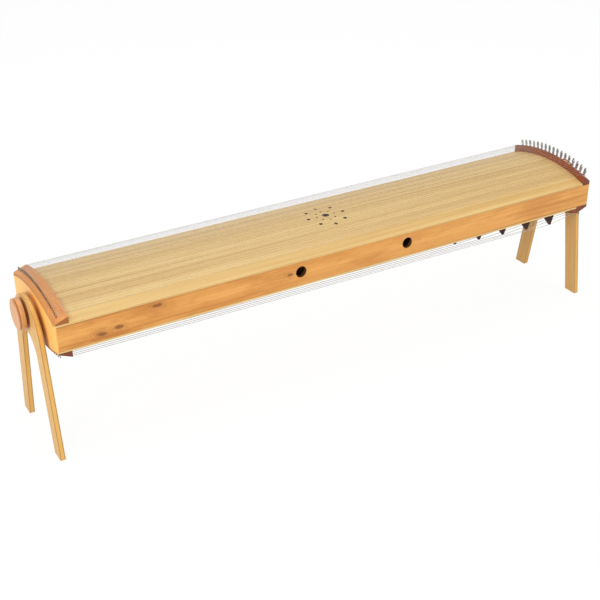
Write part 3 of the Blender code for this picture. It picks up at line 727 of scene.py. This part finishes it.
def end_blocks():
    for name, end in (("left_end_block", LEFT), ("right_end_block", RIGHT)):
        inner = end * (HALF_LENGTH - END_BLOCK_LENGTH)
        outline = arch_section(INNER_RADIUS, HALF_WIDTH + TRIM, TOP)
        outline += arch_section(INNER_RADIUS, HALF_WIDTH + TRIM, LOW)[::-1]
        made = section_bar(name + "_finished", [(inner, y, z) for y, z in outline],
                           (end * (END_BLOCK_LENGTH + TRIM), 0, 0))
        plan_trimmed(made)
        bore = (end * (HALF_LENGTH - INSERT_DEPTH / 2 + TRIM / 2), 0, PIVOT_HEIGHT)
        cut(made, cylinder("bore", INSERT_BORE, INSERT_DEPTH + TRIM, bore, "X"))
        dress(smoothed(made), "soundbox", "body_alder", name)


# Strips, pins and strings

def strip_section(ridge, high, low, base):
    out = math.copysign(1, ridge)
    end = out * (STRIP_END + TRIM)
    drop = (high - low) * TRIM / (STRIP_END - abs(ridge) - RIDGE_FLAT)
    return [(ridge, base), (ridge, high), (ridge + out * RIDGE_FLAT, high), (end, low - drop), (end, base)]


def slope_height(ridge, high, low, x):
    return low + (high - low) * (STRIP_END - abs(x)) / (STRIP_END - abs(ridge) - RIDGE_FLAT)


def end_strip(name, side, ridge, base, slot, node):
    made = arched(name, side, strip_section(*ridge, base), -HALF_WIDTH - TRIM, HALF_WIDTH + TRIM)
    end = block("end", (-STRIP_END, -HALF_WIDTH - TRIM, 0), (STRIP_END, HALF_WIDTH + TRIM, 2 * MIDDLE))
    cut(plan_trimmed(made), end, "INTERSECT")
    dress(smoothed(rounded(made, BOARD_ARRIS)), "soundbox", slot, node)


def string_ring(height, radius, string_radius, sides):
    """One turn of string round a pin."""
    deselect()
    bpy.ops.mesh.primitive_torus_add(location=(0, 0, height), major_radius=radius, minor_radius=string_radius,
                                     major_segments=sides, minor_segments=6)
    return added("string_ring")


def hitch_pins(name, side, ridge, rows, hitch_x, string_radius, node):
    """Round pins with a domed top and the string's loop round each."""
    lift = slope_height(*ridge, hitch_x)
    pin = cylinder("pin", HITCH_RADIUS, HITCH_PROUD + BOARD_THICKNESS / 2,
                   (0, 0, HITCH_PROUD / 2 - BOARD_THICKNESS / 4), sides=12)
    rounded(pin, HITCH_RADIUS / 3, 2)
    loop = string_ring(STRING_CLEAR, HITCH_RADIUS + string_radius, string_radius, 14)
    pattern = joined("pattern", [pin, loop])
    made = copies(name, pattern, [on_arch(side, y, hitch_x, lift) for y in rows])
    made.data.materials.append(HITCH_STEEL)
    carried(smoothed(made, 50), node)


def tuning_pins(name, side, ridge, rows, top, string_radius, node):
    """Round shafts with a square tapered head and three turns of string."""
    shaft_top = top - PIN_HEAD
    shaft = cylinder("shaft", PIN_RADIUS, shaft_top - PIN_FOOT, (0, 0, (shaft_top + PIN_FOOT) / 2), sides=20)
    rounded(shaft, PIN_RADIUS / 6, 2)
    shaft.data.materials.append(FINISHES["steel"])
    half = PIN_HEAD_WIDTH / 2
    head = block("head", (-half, -half, shaft_top - PIN_RADIUS / 2), (half, half, top))
    editing(head)
    pick(head, "FACE", lambda face: face.normal.z > 0.9)
    bpy.ops.transform.resize(value=(PIN_HEAD_TAPER, PIN_HEAD_TAPER, 1))
    edited()
    rounded(head, PIN_RADIUS / 8, 2)
    head.data.materials.append(DARK_STEEL)
    parts = [shaft, head]
    lift = slope_height(*ridge, rows[0][1]) + STRING_CLEAR
    for turn in range(COIL_TURNS):
        height = lift + turn * COIL_PITCH * string_radius
        coil = string_ring(height, PIN_RADIUS + string_radius * COIL_SEAT, string_radius, 20)
        coil.data.materials.append(FINISHES["steel"])
        parts.append(coil)
    made = copies(name, joined("pattern", parts), [on_arch(side, y, x) for y, x in rows])
    carried(smoothed(made, 50), node)


def route(side, y, radius, hitch_x, left, supports, right, pin_x):
    """A string's points: hitch pin, left ridge, supports, right ridge, side of the tuning pin."""
    over = GAP + radius
    points = [(hitch_x + HITCH_RADIUS, slope_height(*left, hitch_x) + STRING_CLEAR),
              (left[0] - RIDGE_FLAT, left[1] + over)]
    points += [(x, height + over) for x, height in supports]
    points += [(right[0] + RIDGE_FLAT, right[1] + over),
               (pin_x - PIN_RADIUS * STRING_MEETS_PIN, slope_height(*right, pin_x) + STRING_CLEAR)]
    return [on_arch(side, y, x, lift).to_translation() for x, lift in points]


def upper_side():
    rows = [(i - (TOP_STRINGS - 1) / 2) * TOP_PITCH for i in range(TOP_STRINGS)]
    end_strip("upper_left_strip", TOP, TOP_LEFT, GAP, "strip_cherry", "top_hitch_strip")
    end_strip("upper_right_strip", TOP, TOP_RIGHT, -BOARD_THICKNESS, "strip_padauk", "top_tuning_strip")
    hitch_pins("upper_hitch_pins", TOP, TOP_LEFT, rows, TOP_HITCH_X, TOP_STRING_RADIUS, "top_hitch_strip")
    places = [(y, TOP_PIN_ROWS[i % 2]) for i, y in enumerate(rows)]
    tuning_pins("upper_tuning_pins", TOP, TOP_RIGHT, places, TOP_PIN_TOP, TOP_STRING_RADIUS,
                "top_tuning_strip")
    routes = [route(TOP, y, TOP_STRING_RADIUS, TOP_HITCH_X, TOP_LEFT, [], TOP_RIGHT, x) for y, x in places]
    strings = tube("upper_strings", TOP_STRING_RADIUS, routes)
    strings.data.materials.append(STRING_STEEL)
    carried(strings, "top_tuning_strip")


def lower_side():
    koto = [KOTO_FIRST_Y + i * KOTO_PITCH for i in range(KOTO_STRINGS)]
    drone = [DRONE_FIRST_Y + i * DRONE_PITCH for i in range(DRONE_STRINGS)]
    end_strip("lower_left_strip", LOW, LOW_LEFT, GAP, "strip_padauk", "bottom_hitch_strip")
    end_strip("lower_right_strip", LOW, LOW_RIGHT, -BOARD_THICKNESS, "strip_padauk", "bottom_tuning_strip")
    hitch_pins("lower_hitch_pins", LOW, LOW_LEFT, koto + drone, LOW_HITCH_X, KOTO_STRING_RADIUS,
               "bottom_hitch_strip")
    places = [(y, LOW_PIN_X) for y in koto + drone]
    tuning_pins("lower_tuning_pins", LOW, LOW_RIGHT, places, LOW_PIN_TOP, KOTO_STRING_RADIUS,
                "bottom_tuning_strip")
    support = [(DRONE_BRIDGE_X + DRONE_BRIDGE_WIDTH / 2, DRONE_BRIDGE_HEIGHT)]
    routes = [route(LOW, y, DRONE_STRING_RADIUS, LOW_HITCH_X, LOW_LEFT, support, LOW_RIGHT, LOW_PIN_X)
              for y in drone]
    strings = tube("drone_strings", DRONE_STRING_RADIUS, routes)
    strings.data.materials.append(BRONZE)
    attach(strings, "soundbox")
    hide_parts("bottom_tuning_strip")
    drone_bridge(drone)
    for number, y in enumerate(koto, 1):
        koto_bridge(number, y)


def drone_bridge(drone):
    half = DRONE_BRIDGE_WIDTH / 2
    section = [(DRONE_BRIDGE_X - half, GAP), (DRONE_BRIDGE_X - half, DRONE_BRIDGE_HEIGHT),
               (DRONE_BRIDGE_X + half, DRONE_BRIDGE_HEIGHT), (DRONE_BRIDGE_X + half, GAP)]
    span = (drone[0] - DRONE_BRIDGE_MARGIN, drone[-1] + DRONE_BRIDGE_MARGIN)
    made = arched("drone_bridge_finished", LOW, section, *span, cuts=19)
    dress(smoothed(rounded(made, DRONE_BRIDGE_ROUNDING, 4)), "soundbox", "bridge_rosewood", "drone_bridge")


def koto_bridge(number, y):
    """A movable bridge on two feet, and its string in two halves."""
    node = f"koto_bridge_{number:02d}"
    low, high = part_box(node)
    x = (low.x + high.x) / 2
    half_base, half_crest, foot = BRIDGE_BASE / 2, BRIDGE_CREST / 2, BRIDGE_THICKNESS / 2
    outline = [(-half_base, 0), (half_base, 0), (half_crest, BRIDGE_HEIGHT), (-half_crest, BRIDGE_HEIGHT)]
    made = section_bar(node + "_finished", [(px, -foot, pz) for px, pz in outline], (0, BRIDGE_THICKNESS, 0))
    for vertex in made.data.vertices:
        if vertex.co.z > BRIDGE_HEIGHT / 2:
            vertex.co.y *= BRIDGE_CREST_THICKNESS / BRIDGE_THICKNESS
    arch = (0, 0, BRIDGE_ARCH_HEIGHT - BRIDGE_ARCH_RADIUS)
    cut(made, cylinder("arch", BRIDGE_ARCH_RADIUS, 2 * BRIDGE_THICKNESS, arch, "Y", 40))
    rounded(made, SMALL_ARRIS)
    made.data.transform(on_arch(LOW, y, x, GAP))
    body = f"bridge_{number:02d}"
    dress(smoothed(made), body, "bridge_rosewood", node)

    points = route(LOW, y, KOTO_STRING_RADIUS, LOW_HITCH_X, LOW_LEFT, [(x, GAP + BRIDGE_HEIGHT)], LOW_RIGHT,
                   LOW_PIN_X)
    for part, half in (("left", points[:3]), ("right", points[:1:-1])):
        string = tube(f"koto_string_{number:02d}_{part}", KOTO_STRING_RADIUS, [half])
        string.data.materials.append(STRING_STEEL)
        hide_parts(f"koto_string_{number:02d}")
        half[1] if part == "left" else half[-2]
        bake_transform(string)


# Stands and knobs

def knob(name, end):
    """A turned disc with a rounded rim, a low dome in front and a boss behind."""
    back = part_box("right_knob")[0].x + KNOB_BOSS
    middle = back + KNOB_RIM / 2
    made = cylinder(name + "_finished", KNOB_RADIUS, KNOB_RIM, (middle, 0, PIVOT_HEIGHT), "X", 96)
    editing(made)
    for rounding, front in ((KNOB_FRONT_ROUNDING, True), (KNOB_ROUNDING, False)):
        pick(made, "EDGE", lambda edge: all((vertex.co.x > middle) == front for vertex in edge.verts))
        bpy.ops.mesh.bevel(offset=rounding, segments=8, affect="EDGES")
    pick(made, "FACE", lambda face: abs(face.normal.x) > 0.99 and face.calc_center_median().x > middle)
    for inset, rise in KNOB_DOME_STEPS:
        bpy.ops.mesh.inset(thickness=inset)
        bpy.ops.transform.translate(value=(rise, 0, 0))
    pick(made, "FACE", lambda face: abs(face.normal.x) > 0.99 and face.calc_center_median().x < middle)
    bpy.ops.mesh.inset(thickness=KNOB_RADIUS - KNOB_ROUNDING - KNOB_BOSS_RADIUS)
    bpy.ops.mesh.extrude_region_move(TRANSFORM_OT_translate={"value": (-KNOB_BOSS, 0, 0)})
    edited()
    if end == LEFT:
        made.data.transform(Matrix.Rotation(math.pi, 4, "Z"))
    only(made)
    bpy.ops.object.shade_smooth_by_angle(angle=math.radians(50))
    return made


def stands_and_knobs():
    for name, end in (("left", LEFT), ("right", RIGHT)):
        stand, clamp = f"{name}_stand", f"{name}_clamp"
        dress(finer_copy(f"{name}_stand_board", STAND_ARRIS), stand, "stand_alder", f"{name}_stand_board")
        dress(finer_copy(f"{name}_bushing"), stand, "brass", f"{name}_bushing")
        dress(finer_copy(f"{name}_spacer"), "soundbox", "strip_cherry", f"{name}_spacer")
        dress(finer_copy(f"{name}_washer"), clamp, "washer_leather", f"{name}_washer")
        dress(finer_copy(f"{name}_stud"), clamp, "steel", f"{name}_stud")
        dress(knob(f"{name}_knob", end), clamp, "knob_cherry", f"{name}_knob")


def inner_pieces():
    """Solids that stay as they are, inside the box, with their finish."""
    for node, made in frame["nodes"].items():
        if made.hide_render:
            continue
        slot = "brass" if "insert" in node else "inner_spruce"
        made.data.materials.clear()
        made.data.materials.append(FINISHES[slot])


# Studio

def floor():
    """A pale floor that the camera sees as near white, with the object's shadow kept faint."""
    deselect()
    bpy.ops.mesh.primitive_plane_add(size=FLOOR_SIZE)
    made = added("floor")
    finish = Finish("floor_paper", {"Roughness": 0.9, "Specular IOR Level": 0.1})
    x, y, z = finish.place()
    paper = finish.noise(x * 30, y * 30, z, detail=2)
    finish.wear(finish.mix(paper, (0.80, 0.80, 0.80), (0.84, 0.84, 0.835)))
    seen = finish.node("ShaderNodeLightPath", output="Is Camera Ray")
    glossy = finish.node("ShaderNodeLightPath", output="Is Glossy Ray")
    through = finish.node("ShaderNodeLightPath", output="Is Transmission Ray")
    white = finish.node("ShaderNodeEmission", sockets={"Color": (1, 1, 1, 1), "Strength": PAPER_LEVEL})
    share = seen.larger(glossy).larger(through) * PAPER_SHARE
    shader = Field(finish, finish.shader.outputs[0])
    mixed = finish.node("ShaderNodeMixShader", sockets={0: share, 1: shader, 2: white})
    finish.feed(finish.tree.nodes["Material Output"].inputs["Surface"], mixed)
    made.data.materials.append(finish.material)


def world(level):
    made = bpy.data.worlds.new("studio")
    bpy.context.scene.world = made
    made.use_nodes = True
    tree = made.node_tree
    tree.nodes.clear()
    light = tree.nodes.new("ShaderNodeBackground")
    light.inputs["Color"].default_value = (1.0, 0.99, 0.97, 1)
    light.inputs["Strength"].default_value = level
    white = tree.nodes.new("ShaderNodeBackground")
    white.inputs["Color"].default_value = (1, 1, 1, 1)
    path = tree.nodes.new("ShaderNodeLightPath")
    glossy = tree.nodes.new("ShaderNodeMath")
    glossy.operation = "MAXIMUM"
    seen = tree.nodes.new("ShaderNodeMath")
    seen.operation = "MAXIMUM"
    mix = tree.nodes.new("ShaderNodeMixShader")
    out = tree.nodes.new("ShaderNodeOutputWorld")
    for start, end in ((path.outputs["Is Glossy Ray"], glossy.inputs[0]),
                       (path.outputs["Is Transmission Ray"], glossy.inputs[1]),
                       (path.outputs["Is Camera Ray"], seen.inputs[0]),
                       (glossy.outputs[0], seen.inputs[1]), (seen.outputs[0], mix.inputs[0]),
                       (light.outputs[0], mix.inputs[1]), (white.outputs[0], mix.inputs[2]),
                       (mix.outputs[0], out.inputs["Surface"])):
        tree.links.new(start, end)


def lamp(name, place, aim, size, power):
    light = bpy.data.lights.new(name, "AREA")
    light.shape = "DISK"
    light.size = size
    light.energy = power
    made = bpy.data.objects.new(name, light)
    bpy.context.scene.collection.objects.link(made)
    made.location = place
    made.rotation_euler = (Vector(aim) - Vector(place)).to_track_quat("-Z", "Y").to_euler()


def studio():
    floor()
    world(WORLD_LEVEL)
    for values in LAMPS:
        lamp(*values)
    camera = bpy.data.objects.new("camera", bpy.data.cameras.new("camera"))
    bpy.context.scene.collection.objects.link(camera)
    camera.location = CAMERA_PLACE
    camera.rotation_euler = [math.radians(angle) for angle in CAMERA_TURN]
    camera.data.lens = CAMERA_LENS
    camera.data.sensor_width = 36
    bpy.context.scene.camera = camera
    bpy.context.scene.view_settings.view_transform = "Standard"


studio()
soundboards()
sides()
end_blocks()
upper_side()
lower_side()
stands_and_knobs()
inner_pieces()
